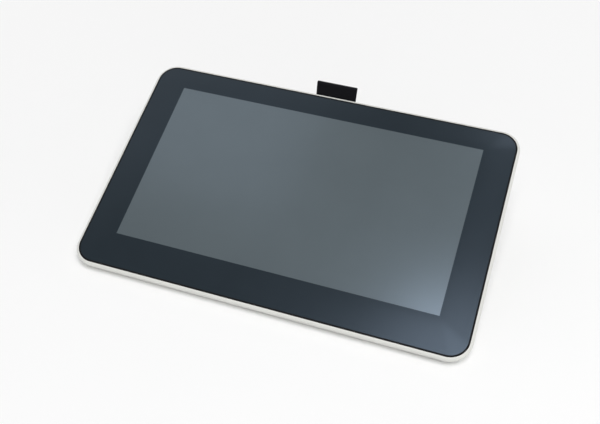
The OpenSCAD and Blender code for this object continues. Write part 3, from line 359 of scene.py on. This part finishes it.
def round_outline(half_w, half_d, radius):
    """Points round a rectangle with round corners, anticlockwise."""
    points = []
    for quarter, (sx, sy) in enumerate(((1, 1), (-1, 1), (-1, -1), (1, -1))):
        for k in range(CORNER_STEPS + 1):
            angle = QUARTER * (quarter + k / CORNER_STEPS)
            points.append((sx * (half_w - radius) + radius * math.cos(angle),
                           sy * (half_d - radius) + radius * math.sin(angle)))
    return points


def glass_rings(bm):
    """Rings of points up the side of the glass and over its rounded front edge."""
    low, high = tablet_box("cover_glass")
    mid = (low + high) / 2
    half_w, half_d = (high.x - low.x) / 2, (high.y - low.y) / 2
    profile = [(0, low.z)]
    for k in range(EDGE_STEPS + 1):
        angle = QUARTER * k / EDGE_STEPS
        profile.append((GLASS_EDGE * (1 - math.cos(angle)), high.z - GLASS_EDGE * (1 - math.sin(angle))))
    rings = []
    for inset, z in profile:
        outline = round_outline(half_w - inset, half_d - inset, GLASS_CORNER - inset)
        rings.append([bm.verts.new((mid.x + x, mid.y + y, z)) for x, y in outline])
    return rings


def picture_corners(bm, z):
    """Corners of the picture in the glass's front, in the order of the outline's corners."""
    low, high = tablet_box("lcd_panel")
    left, right = low.x + PANEL_SIDE, high.x - PANEL_SIDE
    bottom, top = low.y + PANEL_LEDGE, high.y - PANEL_SIDE
    corners = ((right, top), (left, top), (left, bottom), (right, bottom))
    return [bm.verts.new((x, y, z)) for x, y in corners]


def cover_glass():
    """Front glass: rounded edge, black printed border and the grey picture area."""
    bm = bmesh.new()
    rings = glass_rings(bm)
    rim = rings[-1]
    count = len(rim)
    for below, above in zip(rings, rings[1:]):
        for i in range(count):
            j = (i + 1) % count
            bm.faces.new((below[i], below[j], above[j], above[i])).material_index = GROUND_EDGE
    bm.faces.new(rings[0][::-1])
    screen = picture_corners(bm, rim[0].co.z)
    for c in range(4):
        first = c * (CORNER_STEPS + 1)
        last = first + CORNER_STEPS
        for k in range(first, last):
            bm.faces.new((rim[k], rim[k + 1], screen[c]))
        bm.faces.new((rim[last], rim[(last + 1) % count], screen[(c + 1) % 4], screen[c]))
    bm.faces.new(screen).material_index = PICTURE
    piece = add_object("glass_front", bm, GLASS_LOOKS, "tablet", GLASS_CREASE)
    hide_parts("cover_glass")


def arc(middle, radius, start, end, steps):
    """Points on an arc, from one angle to another."""
    angles = [start + (end - start) * k / steps for k in range(steps + 1)]
    return [middle + radius * Vector((math.cos(a), math.sin(a))) for a in angles]


def even_points(path, step):
    """Points at even distances along a path, and the path's length."""
    lengths = [0.0]
    for a, b in zip(path, path[1:]):
        lengths.append(lengths[-1] + (b - a).length)
    count = round(lengths[-1] / step)
    points, k = [], 0
    for i in range(count + 1):
        want = lengths[-1] * i / count
        while k < len(path) - 2 and lengths[k + 1] < want:
            k += 1
        points.append(path[k].lerp(path[k + 1], (want - lengths[k]) / (lengths[k + 1] - lengths[k])))
    return points, lengths[-1]


def loop_path():
    """Middle line of the webbing in y and z: out by the back ply, round the fold, in by the front ply."""
    low, high = tablet_box("pen_loop")
    fold = Vector((high.y - FOLD_RADIUS, high.z - FOLD_RADIUS))
    bend = fold - FOLD_REACH * Vector((math.cos(FOLD_LEAN), math.sin(FOLD_LEAN)))
    back, front = BEND_RADIUS + 1.5 * BAND_T, BEND_RADIUS + 0.5 * BAND_T
    path = [Vector((low.y, bend.y - back))]
    path += arc(bend, back, -QUARTER, PLY_BACK - QUARTER, BEND_STEPS)
    path += arc(fold, FOLD_RADIUS - BAND_T / 2, PLY_BACK - QUARTER, PLY_FRONT + QUARTER, FOLD_STEPS)
    path += arc(bend, front, PLY_FRONT - QUARTER, -QUARTER, BEND_STEPS)
    path.append(Vector((low.y, bend.y - front)))
    return path


def band_rows(bm, line, length, width, columns):
    """Points on both faces of the band, a row for each point of a line, with ribs and thin selvedges."""
    turn = 2 * math.pi / RIB_PITCH
    last = len(line) - 1
    upper, lower = [], []
    for i, point in enumerate(line):
        ahead = line[min(i + 1, last)] - line[max(i - 1, 0)]
        normal = Vector((-ahead.y, ahead.x)).normalized()
        along = length * i / last
        up, down = [], []
        for c in range(columns + 1):
            x = -width / 2 + width * c / columns
            flat = min(1.0, (width / 2 - abs(x)) / SELVEDGE)
            half = EDGE_HALF + (BAND_T / 2 - RIB_DEPTH - EDGE_HALF) * math.sqrt(flat * (2 - flat))
            weave = RIB_DEPTH * flat * math.cos(turn * x) * math.cos(turn * along)
            for side, row in ((1, up), (-1, down)):
                offset = side * half + weave
                row.append(bm.verts.new((x, point.x + normal.x * offset, point.y + normal.y * offset)))
        upper.append(up)
        lower.append(down)
    return upper, lower


def pen_loop():
    """Woven band folded flat, with both ends held in the case."""
    low, high = tablet_box("pen_loop")
    width = high.x - low.x
    step = RIB_PITCH / STEPS_PER_RIB
    columns = round(width / step)
    line, length = even_points(loop_path(), step)
    last = len(line) - 1
    bm = bmesh.new()
    upper, lower = band_rows(bm, line, length, width, columns)
    for i in range(last):
        for c in range(columns):
            bm.faces.new((upper[i][c], upper[i][c + 1], upper[i + 1][c + 1], upper[i + 1][c]))
            bm.faces.new((lower[i][c], lower[i + 1][c], lower[i + 1][c + 1], lower[i][c + 1]))
        for c in (0, columns):
            bm.faces.new((upper[i][c], upper[i + 1][c], lower[i + 1][c], lower[i][c]))
    for i in (0, last):
        for c in range(columns):
            bm.faces.new((upper[i][c], upper[i][c + 1], lower[i][c + 1], lower[i][c]))
    piece = add_object("loop_webbing", bm, (LOOKS["webbing"],), "tablet", WEAVE_CREASE)
    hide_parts("pen_loop")


def floor_look():
    """Pale floor that keeps the shadow near the part and is plain white farther out."""
    look = Look("floor")
    look.colour(look.spread(look.noise(MOTTLE_SIZE), 0, 1), *map(grey, FLOOR_TONES))
    look.fixed(Roughness=0.9, Specular_IOR_Level=0.1)
    away = look.add("ShaderNodeVectorMath", operation="LENGTH")
    look.link(look.place(), away.inputs[0])
    rays = look.add("ShaderNodeLightPath")
    seen = rays.outputs["Is Camera Ray"]
    for kind in ("Is Glossy Ray", "Is Transmission Ray"):
        seen = look.combine("ADD", seen, rays.outputs[kind])
    faded = look.spread(away.outputs["Value"], 0, 1, start=SHADOW_REACH, end=WHITE_FROM)
    white = look.add("ShaderNodeEmission")
    white.inputs["Color"].default_value = (*grey(WHITE), 1)
    blend = look.add("ShaderNodeMixShader")
    look.link(look.combine("MULTIPLY", faded, seen), blend.inputs[0])
    look.link(look.shader.outputs[0], blend.inputs[1])
    look.link(white.outputs[0], blend.inputs[2])
    look.link(blend.outputs[0], look.tree.nodes["Material Output"].inputs["Surface"])
    return look.material


def floor():
    """Square that the part stands on."""
    mesh = bpy.data.meshes.new("floor")
    corners = [(sx * FLOOR_HALF, sy * FLOOR_HALF, 0) for sx, sy in ((-1, -1), (1, -1), (1, 1), (-1, 1))]
    mesh.from_pydata(corners, [], [(0, 1, 2, 3)])
    mesh.materials.append(floor_look())
    ground = bpy.data.objects.new("floor", mesh)
    bpy.context.scene.collection.objects.link(ground)


def softbox(name, toward, distance, size, radiance):
    """Square soft light that faces the part from a direction."""
    light = bpy.data.lights.new(name, "AREA")
    light.shape = "SQUARE"
    light.size = size
    light.energy = radiance * math.pi * size ** 2
    lamp = bpy.data.objects.new(name, light)
    direction = Vector(toward).normalized()
    across = Vector((0, 1, 0)).cross(direction).normalized()
    facing = Matrix((across, direction.cross(across), direction)).transposed()
    lamp.matrix_world = Matrix.Translation(direction * distance) @ facing.to_4x4()
    bpy.context.scene.collection.objects.link(lamp)


def surroundings():
    """White room that is brighter round the sides than overhead."""
    world = bpy.data.worlds.new("room")
    bpy.context.scene.world = world
    world.use_nodes = True
    nodes, links = world.node_tree.nodes, world.node_tree.links
    place = nodes.new("ShaderNodeTexCoord")
    split = nodes.new("ShaderNodeSeparateXYZ")
    ramp = nodes.new("ShaderNodeValToRGB")
    stops = ((ROOM_WHITE_TO, WHITE), (ROOM_DARK_FROM, ROOM_OVERHEAD))
    for element, (height, tone) in zip(ramp.color_ramp.elements, stops):
        element.position = height
        element.color = (*grey(tone), 1)
    links.new(place.outputs["Generated"], split.inputs["Vector"])
    links.new(split.outputs["Z"], ramp.inputs["Fac"])
    links.new(ramp.outputs["Color"], nodes["Background"].inputs["Color"])
    nodes["Background"].inputs["Strength"].default_value = 1.0


def camera():
    """Camera of the photograph."""
    data = bpy.data.cameras.new("camera")
    data.lens = CAMERA_LENS
    data.sensor_width = SENSOR_WIDTH
    view = bpy.data.objects.new("camera", data)
    turn = (Matrix.Rotation(CAMERA_HEADING, 4, "Z") @ Matrix.Rotation(QUARTER - CAMERA_FALL, 4, "X")
            @ Matrix.Rotation(CAMERA_ROLL, 4, "Z"))
    view.matrix_world = Matrix.Translation(CAMERA_AT) @ turn
    bpy.context.scene.collection.objects.link(view)
    bpy.context.scene.camera = view


camera()
dress_nodes()
cover_glass()
pen_loop()
floor()
surroundings()
softbox("key", toward=(0.27, -0.31, 1.0), distance=4.0, size=2.8, radiance=4.65)
softbox("fill", toward=(-0.62, 0.5, 1.0), distance=2.2, size=1.38, radiance=0.44)
softbox("back", toward=(0.107, 0.42, 1.0), distance=4.0, size=0.8, radiance=1.9)
bpy.context.scene.view_settings.view_transform = "Standard"
